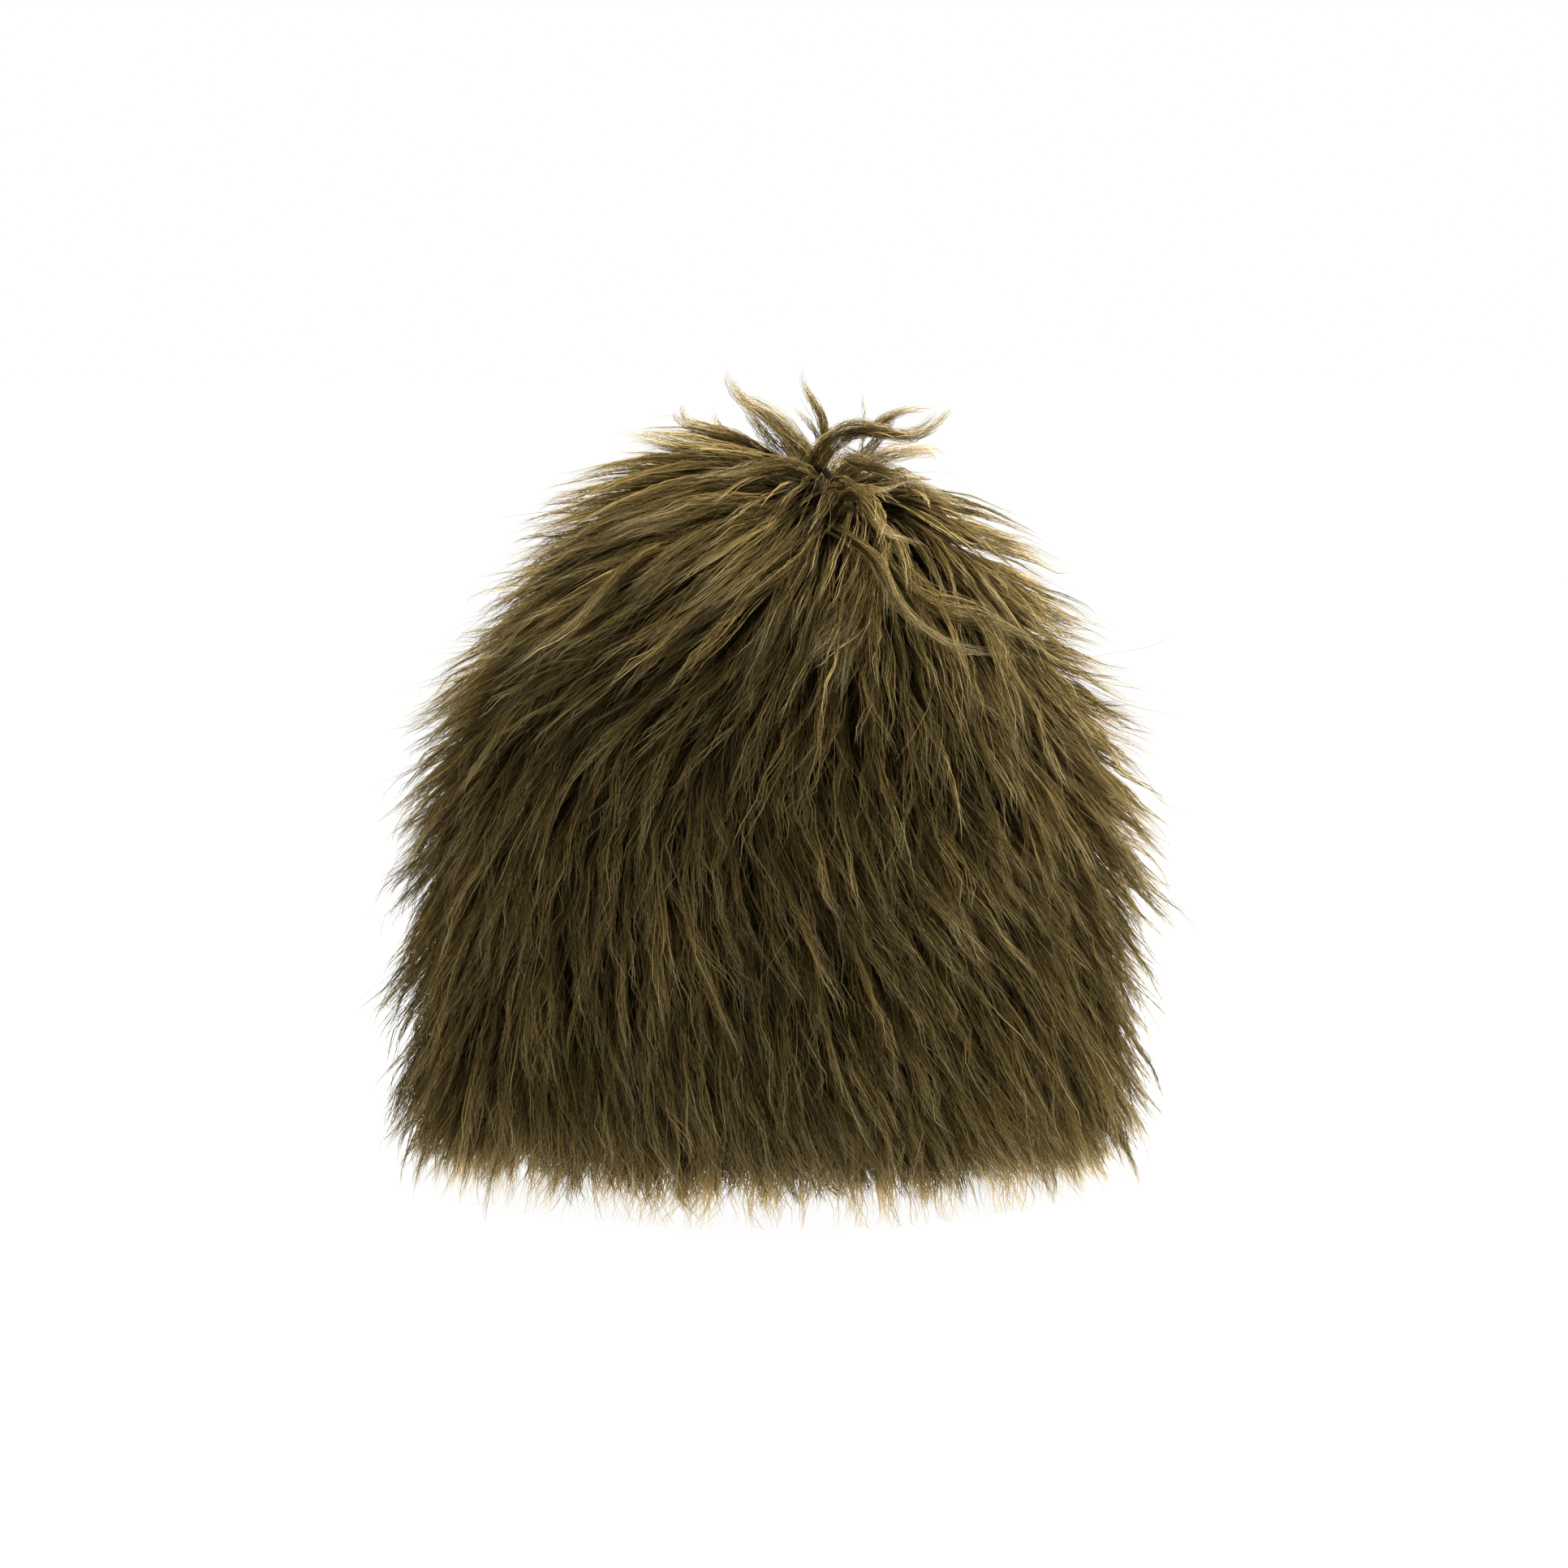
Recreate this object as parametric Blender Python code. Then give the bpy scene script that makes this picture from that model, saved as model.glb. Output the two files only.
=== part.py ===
"""Long-haired fur beanie.

A thin domed backing, open at the hem, and the deep fur that covers it. The fur is one hollow
body: tapered locks fused to a pile base, combed away from a whorl near the top.
Metres, +Z up. The origin is on the floor under the middle, and the front faces -Y.
"""

import math
import random

import bmesh
import bpy
from mathutils import Vector

# The backing that the hair grows from
HEAD_RADIUS = 0.090  # inside, for a head of about 56.5 cm
WALL = 0.002
HEM_Z = 0.018  # the hem hangs this far above the floor, carried by the fringe
SHOULDER_Z = 0.095  # straight sides up to here, a half ellipse above
APEX_Z = 0.229
OUTER_RADIUS = HEAD_RADIUS + WALL
DOME_RISE = APEX_Z - SHOULDER_Z

# The pile base: matted hair close to the backing, which the locks come out of
GAP = 0.0003
PILE_DEPTH = 0.011
PILE_FOOT_Z = 0.013

# The whorl, right of the middle, that all the hair is combed away from
WHORL = Vector((0.016, -0.004, APEX_Z))

# Facets
AROUND = 32
STRAIGHT_RINGS = 3
DOME_RINGS = 8

# Locks leave the backing steeply and lie down towards their tips
ROOT_LIFT = math.radians(50)
TIP_LIFT = math.radians(8)
ROOT_DEPTH = 0.005  # how far a lock's root is sunk below the pile's surface
LOCK_THICKNESS = 0.5  # of its width
TOP_ROOT_Z = APEX_Z - 0.0015  # no root is nearer the apex
LOCK_WIDTHS = (0.80, 1.00, 0.78, 0.42)  # of its half width, root to just before the tip
LOWEST_TIP_Z = 0.005

# How far the locks differ from each other, either way
TURN_SPREAD = 0.14  # of the step to the next lock
HEIGHT_SPREAD = 0.003
LENGTH_SPREAD = 0.10  # of the length
WIDTH_SPREAD = 0.10  # of the width
LIFT_SPREAD = math.radians(5)
SWAY_SPREAD = 0.22  # sideways, as a share of the way down

# Rows of locks from the crown down: the height of their roots, how many, length, half width
TIERS = (
    {"z": 0.2262, "locks": 6, "length": 0.058, "half_width": 0.0095},
    {"z": 0.2180, "locks": 9, "length": 0.066, "half_width": 0.0125},
    {"z": 0.2040, "locks": 12, "length": 0.070, "half_width": 0.0145},
    {"z": 0.1840, "locks": 15, "length": 0.070, "half_width": 0.0150},
    {"z": 0.1580, "locks": 17, "length": 0.068, "half_width": 0.0155},
    {"z": 0.1280, "locks": 18, "length": 0.066, "half_width": 0.0160},
    {"z": 0.0970, "locks": 18, "length": 0.065, "half_width": 0.0160},
    {"z": 0.0670, "locks": 18, "length": 0.060, "half_width": 0.0160},
    {"z": 0.0440, "locks": 18, "length": 0.050, "half_width": 0.0150},
)

# The fringe under the hem, whose ends are flat on the floor; every other lock leans out
FRINGE_LOCKS = 26
FRINGE_ROOT_Z = 0.024
FRINGE_HALF_WIDTH = 0.0085
FRINGE_WIDTHS = (0.7, 1.0, 0.36)  # of its half width, root to end
FRINGE_LEANS = (0.003, 0.015)
FRINGE_BEND_SHARE = 0.6  # of the lean, halfway down

# Locks that stand up or curl out of the crown, by where they pass, root to tip
CROWN_LOCKS = (
    {
        "name": "tall_left",
        "half_width": 0.0050,
        "through": ((0.015, -0.004, 0.2345), (0.011, -0.005, 0.245), (-0.003, -0.004, 0.257),
                    (-0.0154, -0.002, 0.2710)),
    },
    {
        "name": "tall_middle",
        "half_width": 0.0036,
        "through": ((0.019, 0.000, 0.2340), (0.0195, 0.001, 0.244), (0.0165, 0.001, 0.257),
                    (0.0100, 0.001, 0.2695)),
    },
    {
        "name": "curl_right",
        "half_width": 0.0048,
        "through": ((0.017, -0.006, 0.2340), (0.029, -0.008, 0.2475), (0.0437, -0.008, 0.2455),
                    (0.0590, -0.006, 0.2590)),
    },
)

CROWN_LOCK_WIDTHS = (1.0, 0.9, 0.6)  # of its half width, root to just before the tip

DOWN = Vector((0, 0, -1))
VARIATION = random.Random(11)


def dome_normal(p):
    """Outward direction of the backing next to a point."""
    if p.z <= SHOULDER_Z:
        return Vector((p.x, p.y, 0)).normalized()
    flat = OUTER_RADIUS**2
    return Vector((p.x / flat, p.y / flat, (p.z - SHOULDER_Z) / DOME_RISE**2)).normalized()


def combed(p, normal):
    """Direction along the surface that leads away from the whorl."""
    to_whorl = WHORL - p
    along = to_whorl - normal * to_whorl.dot(normal)
    return -along.normalized()


def on_dome(angle, z, offset=0.0):
    """Point on the backing's outside at a height, moved out by an offset."""
    rise = max(0.0, z - SHOULDER_Z) / DOME_RISE
    radius = OUTER_RADIUS * math.sqrt(max(0.0, 1.0 - rise * rise))
    p = Vector((radius * math.cos(angle), radius * math.sin(angle), z))
    return p + dome_normal(p) * offset


def meridian(offset, foot_z):
    """Radius and height of each ring of a dome surface, foot to apex, at an offset."""
    rings = []
    for i in range(STRAIGHT_RINGS):
        share = i / STRAIGHT_RINGS
        rings.append((OUTER_RADIUS + offset, foot_z + share * (SHOULDER_Z - foot_z)))
    for i in range(DOME_RINGS):
        turn = math.pi / 2 * i / DOME_RINGS
        x = OUTER_RADIUS * math.cos(turn)
        z = SHOULDER_Z + DOME_RISE * math.sin(turn)
        normal = dome_normal(Vector((x, 0, z)))
        rings.append((x + normal.x * offset, z + normal.z * offset))
    return rings, APEX_Z + offset


def dome_shell(inner_offset, outer_offset, foot_z):
    """Closed wall between two offsets of the backing's outside, open below."""
    bm = bmesh.new()
    surfaces = []
    for offset in (outer_offset, inner_offset):
        rings, apex_z = meridian(offset, foot_z)
        loops = []
        for radius, z in rings:
            loop = []
            for k in range(AROUND):
                turn = 2 * math.pi * k / AROUND
                loop.append(bm.verts.new((radius * math.cos(turn), radius * math.sin(turn), z)))
            loops.append(loop)
        apex = bm.verts.new((0, 0, apex_z))
        for low, high in zip(loops, loops[1:]):
            for k in range(AROUND):
                n = (k + 1) % AROUND
                bm.faces.new((low[k], low[n], high[n], high[k]))
        for k in range(AROUND):
            bm.faces.new((loops[-1][k], loops[-1][(k + 1) % AROUND], apex))
        surfaces.append(loops[0])
    outer, inner = surfaces
    for k in range(AROUND):
        n = (k + 1) % AROUND
        bm.faces.new((outer[k], outer[n], inner[n], inner[k]))
    bmesh.ops.recalc_face_normals(bm, faces=bm.faces)
    return bm


def add_horn(bm, path, half_widths, tip=None):
    """Closed diamond-section horn along a path; a tip point, or else a flat end."""
    loops = []
    onward = path[1:] + [path[-1] + DOWN if tip is None else tip]
    for i, (p, half) in enumerate(zip(path, half_widths)):
        flat_end = tip is None and i == len(path) - 1
        run = DOWN if flat_end else (onward[i] - path[max(i - 1, 0)]).normalized()
        side = run.cross(dome_normal(p)).normalized()
        up = side.cross(run)
        thick = half * LOCK_THICKNESS
        corners = (p + side * half, p + up * thick, p - side * half, p - up * thick)
        loops.append([bm.verts.new(c) for c in corners])
    faces = [bm.faces.new(loops[0])]
    for low, high in zip(loops, loops[1:]):
        for k in range(4):
            faces.append(bm.faces.new((low[k], low[(k + 1) % 4], high[(k + 1) % 4], high[k])))
    if tip is None:
        faces.append(bm.faces.new(loops[-1]))
    else:
        end = bm.verts.new(tip)
        for k in range(4):
            faces.append(bm.faces.new((loops[-1][k], loops[-1][(k + 1) % 4], end)))
    bmesh.ops.recalc_face_normals(bm, faces=faces)


def lock_path(root, length, lift_change, sway):
    """Points from a root to a tip: steep at first, then combed down along the dome."""
    count = len(LOCK_WIDTHS)
    points = [root]
    for i in range(count):
        p = points[-1]
        lift = ROOT_LIFT + (TIP_LIFT - ROOT_LIFT) * i / (count - 1) + lift_change
        normal = dome_normal(p)
        down = combed(p, normal)
        side = down.cross(normal)
        run = (down + side * sway).normalized()
        points.append(p + (run * math.cos(lift) + normal * math.sin(lift)) * (length / count))
    return points


def varied(value, spread):
    """A value changed by up to a share of itself, either way."""
    return value * (1 + VARIATION.uniform(-spread, spread))


def above_floor(points):
    """The same lock, drawn in towards its root if its tip would reach the floor."""
    root = points[0]
    lowest = min(p.z for p in points)
    if lowest >= LOWEST_TIP_Z:
        return points
    share = (root.z - LOWEST_TIP_Z) / (root.z - lowest)
    return [root + (p - root) * share for p in points]


def add_tiers(bm):
    """The rows of locks, each row turned half a step from the last."""
    surface = GAP + PILE_DEPTH
    for row, tier in enumerate(TIERS):
        for k in range(tier["locks"]):
            step = k + 0.5 * (row % 2) + VARIATION.uniform(-TURN_SPREAD, TURN_SPREAD)
            angle = 2 * math.pi * step / tier["locks"]
            z = tier["z"] + VARIATION.uniform(-HEIGHT_SPREAD, HEIGHT_SPREAD)
            root = on_dome(angle, min(z, TOP_ROOT_Z), surface - ROOT_DEPTH)
            lift_change = VARIATION.uniform(-LIFT_SPREAD, LIFT_SPREAD)
            sway = VARIATION.uniform(-SWAY_SPREAD, SWAY_SPREAD)
            points = lock_path(root, varied(tier["length"], LENGTH_SPREAD), lift_change, sway)
            points = above_floor(points)
            half = varied(tier["half_width"], WIDTH_SPREAD)
            add_horn(bm, points[:-1], [half * share for share in LOCK_WIDTHS], points[-1])


def add_fringe(bm):
    """Short locks under the hem, every other one leaning out, cut flat at the floor."""
    middle = GAP + PILE_DEPTH / 2
    for k in range(FRINGE_LOCKS):
        angle = 2 * math.pi * (k + 0.5) / FRINGE_LOCKS
        lean = FRINGE_LEANS[k % 2]
        root = on_dome(angle, FRINGE_ROOT_Z, middle)
        bend = on_dome(angle, FRINGE_ROOT_Z / 2, middle + lean * FRINGE_BEND_SHARE)
        end = on_dome(angle, 0.0, middle + lean)
        add_horn(bm, [root, bend, end], [FRINGE_HALF_WIDTH * share for share in FRINGE_WIDTHS])


def add_crown_locks(bm):
    """The few locks that stand out of the crown."""
    for lock in CROWN_LOCKS:
        points = [Vector(p) for p in lock["through"]]
        widths = [lock["half_width"] * share for share in CROWN_LOCK_WIDTHS]
        add_horn(bm, points[:-1], widths, points[-1])


def material(name, colour, roughness):
    """Plain finish with one colour."""
    made = bpy.data.materials.new(name)
    made.use_nodes = True
    shader = made.node_tree.nodes["Principled BSDF"]
    shader.inputs["Base Color"].default_value = (*colour, 1)
    shader.inputs["Roughness"].default_value = roughness
    shader.inputs["Metallic"].default_value = 0.0
    return made


def add_object(name, bm, finish):
    """Object in the scene from a bmesh."""
    mesh = bpy.data.meshes.new(name)
    bm.to_mesh(mesh)
    bm.free()
    made = bpy.data.objects.new(name, mesh)
    mesh.materials.append(finish)
    bpy.context.scene.collection.objects.link(made)
    return made


def build():
    for old in list(bpy.data.objects):
        bpy.data.objects.remove(old)

    knit = material("backing_knit", (0.060, 0.047, 0.022), 0.95)
    hair = material("fur_hair", (0.135, 0.105, 0.050), 0.75)

    backing = add_object("crown_backing", dome_shell(-WALL, 0.0, HEM_Z), knit)
    backing.data.shade_smooth()
    backing.data.set_sharp_from_angle(angle=math.radians(50))

    locks = bmesh.new()
    add_tiers(locks)
    add_fringe(locks)
    add_crown_locks(locks)
    cutter = add_object("fur_locks", locks, hair)
    cutter.hide_render = True
    cutter.display_type = "WIRE"

    fur = add_object("fur_pile", dome_shell(GAP, GAP + PILE_DEPTH, PILE_FOOT_Z), hair)
    fuse = fur.modifiers.new("fuse_locks", "BOOLEAN")
    fuse.operation = "UNION"
    fuse.solver = "EXACT"
    fuse.use_self = True
    fuse.object = cutter


build()
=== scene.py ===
"""Looks of the long-haired fur beanie: a knitted backing, dark underfur, and some seventy
thousand strands of hair that gather into locks and tufts, combed away from a whorl.

Metres, +Z up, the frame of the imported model. The front faces -Y.
"""

import math

import bpy
import numpy as np
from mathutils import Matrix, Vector
from mathutils.kdtree import KDTree


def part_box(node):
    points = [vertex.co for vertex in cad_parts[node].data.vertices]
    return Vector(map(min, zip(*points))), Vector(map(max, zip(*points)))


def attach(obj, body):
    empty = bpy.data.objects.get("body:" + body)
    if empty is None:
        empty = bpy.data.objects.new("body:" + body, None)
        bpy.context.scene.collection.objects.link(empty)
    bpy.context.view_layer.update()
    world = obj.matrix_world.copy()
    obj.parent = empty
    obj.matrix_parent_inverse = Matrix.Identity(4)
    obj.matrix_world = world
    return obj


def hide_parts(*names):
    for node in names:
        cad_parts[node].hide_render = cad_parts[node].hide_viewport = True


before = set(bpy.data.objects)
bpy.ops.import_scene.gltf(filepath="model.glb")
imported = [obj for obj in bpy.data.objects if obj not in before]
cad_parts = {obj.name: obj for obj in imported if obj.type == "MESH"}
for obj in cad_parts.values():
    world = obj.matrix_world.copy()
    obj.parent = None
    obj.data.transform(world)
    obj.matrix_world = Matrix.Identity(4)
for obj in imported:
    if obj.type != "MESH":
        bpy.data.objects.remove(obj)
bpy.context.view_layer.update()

# The backing, from the frame
BACKING_LOW, BACKING_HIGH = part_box("crown_backing")
OUTER_RADIUS = (BACKING_HIGH.x - BACKING_LOW.x) / 2
HEM_Z = BACKING_LOW.z
APEX_Z = BACKING_HIGH.z
SHOULDER_Z = 0.095  # straight sides up to here, a half ellipse above
DOME_RISE = APEX_Z - SHOULDER_Z

# Places on the hat
WHORL = np.array([0.016, -0.004, APEX_Z])
PAINTED_SHADE_PIT = WHORL + (0.001, -0.047, 0.002)  # painted shade: the middle of a dark spot painted into the hair in front of the whorl, for the shadow in the hollow there; the hair is not hollowed
# how far the painted shade in front of the whorl reaches
PAINTED_SHADE_PIT_RADIUS = 0.022
MIDDLE_Z = 0.14
CROWN_Z = 0.196  # roots above this belong to the crown's piece

# The photograph's frame, and how it lies on the hat
PHOTO_SIDE = 1932
METRES_PER_PIXEL = 0.000265
MIDDLE_COLUMN = 950
FLOOR_ROW = 1465
CAMERA_ELEVATION = math.radians(4)
CAMERA_DISTANCE = 2.0
SENSOR_MM = 36.0

# How much hair
TUFTS = 520
LOCKS = 7000
STRANDS = 72000
NEAR_WHORL = 0.055  # extra roots close to the whorl, as a share of all
GUARD_SHARE = 0.09  # of the strands, thicker and paler than the rest
FRINGE_HAIRS = 5600
FRINGE_LOCKS = 620
WHORL_HAIRS = 800
FLYAWAYS = 1900
STEPS = 6  # segments in a strand, and below in hair of other kinds
FINE_STEPS = 14  # in the path of a tuft or lock
WHORL_STEPS = 4
FRINGE_STEPS = 6
BUNDLE_STEPS = 11
PART_STRANDS = 11  # about as many in each thin lock of a lock at the crown

# How it grows
HAIR_LENGTH = 0.061
FRONT_LONGER = 0.024
SHORTEST_HAIR = 0.010
ROOT_LIFT, TIP_LIFT = 48, 21  # degrees from the backing, at the root and at the tip
GIRTH_Z = 0.143  # hair from about this height sticks out most
GIRTH_SPREAD = 0.034
HEM_REACH = 0.075  # how far above the hem its shorter, flared hair begins
CALM_RADIUS = 0.060  # nearer the whorl than this, hair scatters less
FLOW, FLOW_SCALE = 0.24, 0.11  # how far its direction wanders, and over what distance
HAIR_HALF_WIDTH = 0.00016
RIBBON_TWIST = 0.6
RIBBON_TIP = 0.12  # the least width, as a share
FLOOR_CLEARANCE = 0.0004
FRINGE_TIP_LOW = 0.0006  # how high the lowest tips of the fringe end
UNDERFUR_DEPTH = 0.007
UNDERFUR_LUMPS, UNDERFUR_LUMP_SIZE = 0.0022, 0.018
UNDERFUR_GAP = 0.0006  # between the underfur and the backing

# What a place adds to the lift, in degrees at the root and at the tip
FRONT_LIFTS = (-10, -15)
FLICK_LIFTS = (-20, 25)  # on the crown, apart from its front
CROWN_LIFTS = (-8, 2)
BEHIND_LIFTS = (3, 2)  # behind the whorl on the crown, and as much less before it
HEM_LIFTS = (6, -6)
GIRTH_LIFT = 18  # this and the next at the tip alone
RIGHT_GIRTH, RIGHT_CROWN, RIGHT_HEM = 4, 8, 5  # on the right, and as much less on the left

# How far the front is combed off straight down: parted above one height, and to the right
# below another
PARTING, PARTING_Z = 0.55, 0.16
LEAN, LEAN_Z = 0.40, 0.190

# Locks at the crown: how many strands, half widths of the whole lock at its root, middle and tip,
# tone, and the places it passes through, all in millimetres. These stand at the whorl, from left
# to right; their tones are raised, and below their roots are made paler, as painted light, for
# light shining through these thin upright locks.
STANDING_LOCKS = (
    (110, (2.8, 2.3, 0.7), 1.36, ((2.7, 2, 232.3), (-13.2, 4, 238.3), (-29.2, 5, 242.2),
     (-41.1, 6, 245), (-52.5, 6, 247.2))),
    (130, (2.6, 2.1, 0.7), 1.31, ((9.3, 0, 233.8), (-2.7, 2, 240), (-11.9, 4, 245.2),
     (-21.7, 5, 248.3), (-27.6, 6, 250.1), (-29.7, 7, 253.7), (-30.5, 7, 256.9))),
    (40, (1.8, 1.2, 0.4), 1.36, ((-1.3, 4, 239.6), (-11.9, 6, 243.7), (-17, 7, 249.2),
     (-18.6, 8, 252.9), (-19.1, 8, 256.1))),
    (260, (4.9, 3.0, 0.4), 1.26, ((13.2, -4, 236.2), (9.3, -4, 242.8), (4, -3, 248.3),
     (-2.7, -2, 253.6), (-9.3, 0, 258.2), (-13.2, 1, 263.7), (-15.1, 2, 269.5))),
    (70, (2.5, 1.5, 0.4), 1.31, ((4, -6, 239), (-1.3, -8, 244.7), (-5.3, -8, 250),
     (-9.3, -8, 255.3), (-11.9, -8, 259.3))),
    (120, (2.6, 1.4, 0.3), 1.31, ((18.6, 0, 237.8), (18, 2, 245.3), (16.4, 4, 252.1),
     (13.2, 6, 258.1), (10.6, 8, 263.2), (9.8, 9, 267.7))),
    (24, (1.2, 1.0, 0.4), 1.36, ((16.4, 3, 243.9), (13.2, 0, 249.4), (9.3, -2, 253.8),
     (4.8, -3, 257.4))),
    (14, (0.7, 0.5, 0.2), 1.48, ((28.6, 4, 239.6), (29.9, 7, 247.9), (29.9, 10, 255.7),
     (29.4, 13, 262.1))),
    (220, (3.7, 2.3, 0.8), 1.20, ((14, -6, 233.4), (16.4, -8, 240.2), (21.2, -9, 245.3),
     (27, -10, 248.5), (33.9, -11, 248.6), (40.8, -11, 246.2), (47.7, -10, 247.2),
     (52.5, -9, 252.2), (55.7, -8, 259.6))),
    (90, (2.0, 1.3, 0.7), 1.42, ((23.9, -10, 246.2), (31.3, -8, 248.1), (37.1, -6, 252),
     (43.7, -5, 254.6), (50.4, -4, 255.3), (53, -4, 257.4))),
    (70, (1.8, 1.3, 0.6), 1.42, ((29.2, -10, 248.3), (37.1, -12, 247.1), (45.1, -13, 246.4),
     (51.7, -13, 249), (57, -14, 253.9), (59.4, -15, 255.8))),
    (40, (1.6, 1.3, 0.7), 1.42, ((23.9, -2, 236), (32.3, 0, 241.5), (37.1, 3, 247.9),
     (39.8, 5, 252.5), (43.7, 6, 254.6))),
    (60, (2.1, 2.0, 1.0), 1.42, ((22.5, -3, 232.7), (29.2, 2, 237.6), (38.4, 5, 241.4),
     (47.7, 7, 242), (53, 7, 239.9), (54.6, 6, 235.2))),
    (60, (2.5, 2.1, 1.0), 1.42, ((21.2, -1, 233.3), (31.8, 3, 237), (42.4, 8, 239.3),
     (53, 12, 240.6), (58.3, 13, 237.9))),
)

# These lie over the fur in front of it.
LYING_LOCKS = (
    (130, (3.4, 3.2, 1.2), 1.45, ((23.8, 0.9, 240), (32.9, -10.5, 236.2), (43.1, -23.7, 232.6),
     (54.9, -23.1, 227.3), (66.6, -24, 219.5))),
    (90, (2, 1.7, 0.8), 1.5, ((17.2, 1.2, 230.1), (19.5, -34.8, 230.6), (23.4, -42.9, 230.4),
     (28.8, -45.3, 229.4), (36.8, -42.9, 229.9), (46.6, -32.4, 233.5))),
    (140, (2.8, 2.4, 1), 1.25, ((14.5, -9.6, 230.7), (10.5, -31.1, 234.8), (4, -35, 236.9),
     (-5.1, -40.1, 235.5), (-13.8, -43.8, 233.5), (-23.2, -41.9, 233.5), (-33.5, -40.7, 232.7))),
    (150, (3.6, 3.6, 1.4), 1.15, ((0.1, -36.3, 225), (-8.9, -49.1, 225.9), (-20.5, -52.3, 224.9),
     (-33.3, -55, 220.4), (-46.1, -53.9, 217.8), (-60.3, -53, 210))),
    (140, (1.3, 1.4, 0.8), 1.45, ((18.2, -42.8, 218.6), (20.4, -55.9, 224.3), (23, -57.8, 227.6),
     (26.3, -58.4, 228.6), (29.1, -59.5, 226), (34.8, -57.5, 217.4), (46.1, -54.1, 213.1),
     (58.2, -47.1, 210.4))),
    (130, (1.4, 1.8, 1), 1.15, ((15.1, -39.9, 217.4), (17.6, -56.2, 217.6), (21.4, -60.3, 216.9),
     (28.8, -65.2, 212), (33.8, -68.6, 207), (38.3, -75, 197.8), (45.9, -78.6, 188.5),
     (58.7, -76.8, 181), (73, -67, 179.2), (85.8, -55.6, 177.8))),
    (200, (4.4, 4.6, 2), 1.15, ((32.7, -42.7, 210.7), (29.8, -63.1, 205.2), (25.6, -74.1, 196.7),
     (18.9, -84.1, 185.7), (13.3, -89.6, 179.4), (9, -92.9, 173.5))),
    (180, (4.2, 4.8, 2.2), 0.9, ((31.1, -45.1, 209.8), (30.3, -65.6, 200.2), (27.6, -80, 186.8),
     (22.9, -89.4, 173.3), (18.4, -96.2, 158.5))),
    (170, (4, 3.8, 1.8), 1.1, ((33.7, -44.9, 209.8), (41.1, -61.6, 201.3), (51.3, -64.9, 193.8),
     (64.3, -59.4, 189.7), (77.5, -50, 185.4), (91, -36.1, 178.3))),
    (170, (4, 4, 2), 0.85, ((35.2, -46.9, 207.2), (43.6, -67, 192.6), (55, -71.7, 177.5),
     (66.5, -71.9, 164.7), (79.5, -65.8, 151.5))),
    (180, (4.2, 4.4, 1.8), 0.95, ((13, -38.6, 219.9), (9.1, -59, 214.8), (1.4, -71, 206.8),
     (-11.3, -78.9, 196.9), (-25.2, -83, 186.9), (-37.9, -83.3, 177.5))),
    (180, (4.2, 4.6, 2), 0.9, ((13, -43.9, 216.2), (9.1, -67.7, 205.4), (1.5, -82.3, 190.7),
     (-6.1, -92.1, 173.4), (-12.4, -97.9, 156.1))),
    (170, (4, 4, 1.6), 1.1, ((2.7, -44, 220.1), (-5, -56.9, 217.3), (-17.8, -62.9, 213.4),
     (-30.5, -68.2, 205.4), (-43.2, -71.9, 194.1), (-54.6, -74.6, 180.2))),
    (130, (2.4, 2.4, 1.2), 1.05, ((-28.3, -44.7, 212.9), (-34.5, -60.5, 211.8),
     (-40.5, -65.3, 209.4), (-48.4, -67.9, 202.3), (-56.7, -70.9, 192.2), (-66.2, -69.8, 184),
     (-76.9, -65.4, 176.4), (-92.2, -57, 162.3))),
)

# Colours of the hair, from root to tip: partly its own darker roots and paler tips, and partly
# painted light and shade, the near-black roots standing in for shade deep in the fur and the pale
# tips for light shining through them
HAIR_BROWNS_AND_PAINTED_LIGHT = ((0, (0.012, 0.0085, 0.004)), (0.30, (0.064, 0.044, 0.017)),
               (0.70, (0.184, 0.132, 0.046)), (1, (0.390, 0.315, 0.165)))
LIGHT_THROUGH = 0.35
PAINTED_SHADE_PIT_DEPTH = 0.3  # painted shade: in the pit in front of the whorl, hair goes only this share of the way to its tip's colour
HEM_PAINTED_LIGHT = 1.0  # painted light: how much paler hair is painted at the floor, for the light it catches from the floor and through the fringe, as a share
HEM_PAINTED_LIGHT_Z = 0.020  # the painted light starts below this height

# Studio
FLOOR_BOUNCE = 0.08  # how much of the light the floor sends back
FLOOR_GLOW = 0.98
SKY_FRONT, SKY_BACK, SKY_TOP = 0.16, 0.25, 0.06
LIGHTS = (
    {"name": "top", "place": (0.30, 0.62, 1.5), "size": 0.7, "power": 108},
    {"name": "left", "place": (-1.2, 0.5, 0.8), "size": 0.8, "power": 9},
    {"name": "right", "place": (1.2, 0.4, 0.9), "size": 0.8, "power": 32},
)

RANDOM = np.random.default_rng(20)


def normalised(v):
    """Unit vectors."""
    return v / np.maximum(np.linalg.norm(v, axis=-1, keepdims=True), 1e-12)


def dome_normal(p):
    """Outward direction of the backing next to each point."""
    rise = np.maximum(p[..., 2] - SHOULDER_Z, 0) / DOME_RISE**2
    x, y = p[..., 0] / OUTER_RADIUS**2, p[..., 1] / OUTER_RADIUS**2
    return normalised(np.stack([x, y, rise], -1))


def combed(p, normal):
    """Direction along the surface that leads away from the whorl."""
    to_whorl = WHORL - p
    along = to_whorl - normal * np.sum(to_whorl * normal, -1, keepdims=True)
    return -normalised(along)


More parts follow.
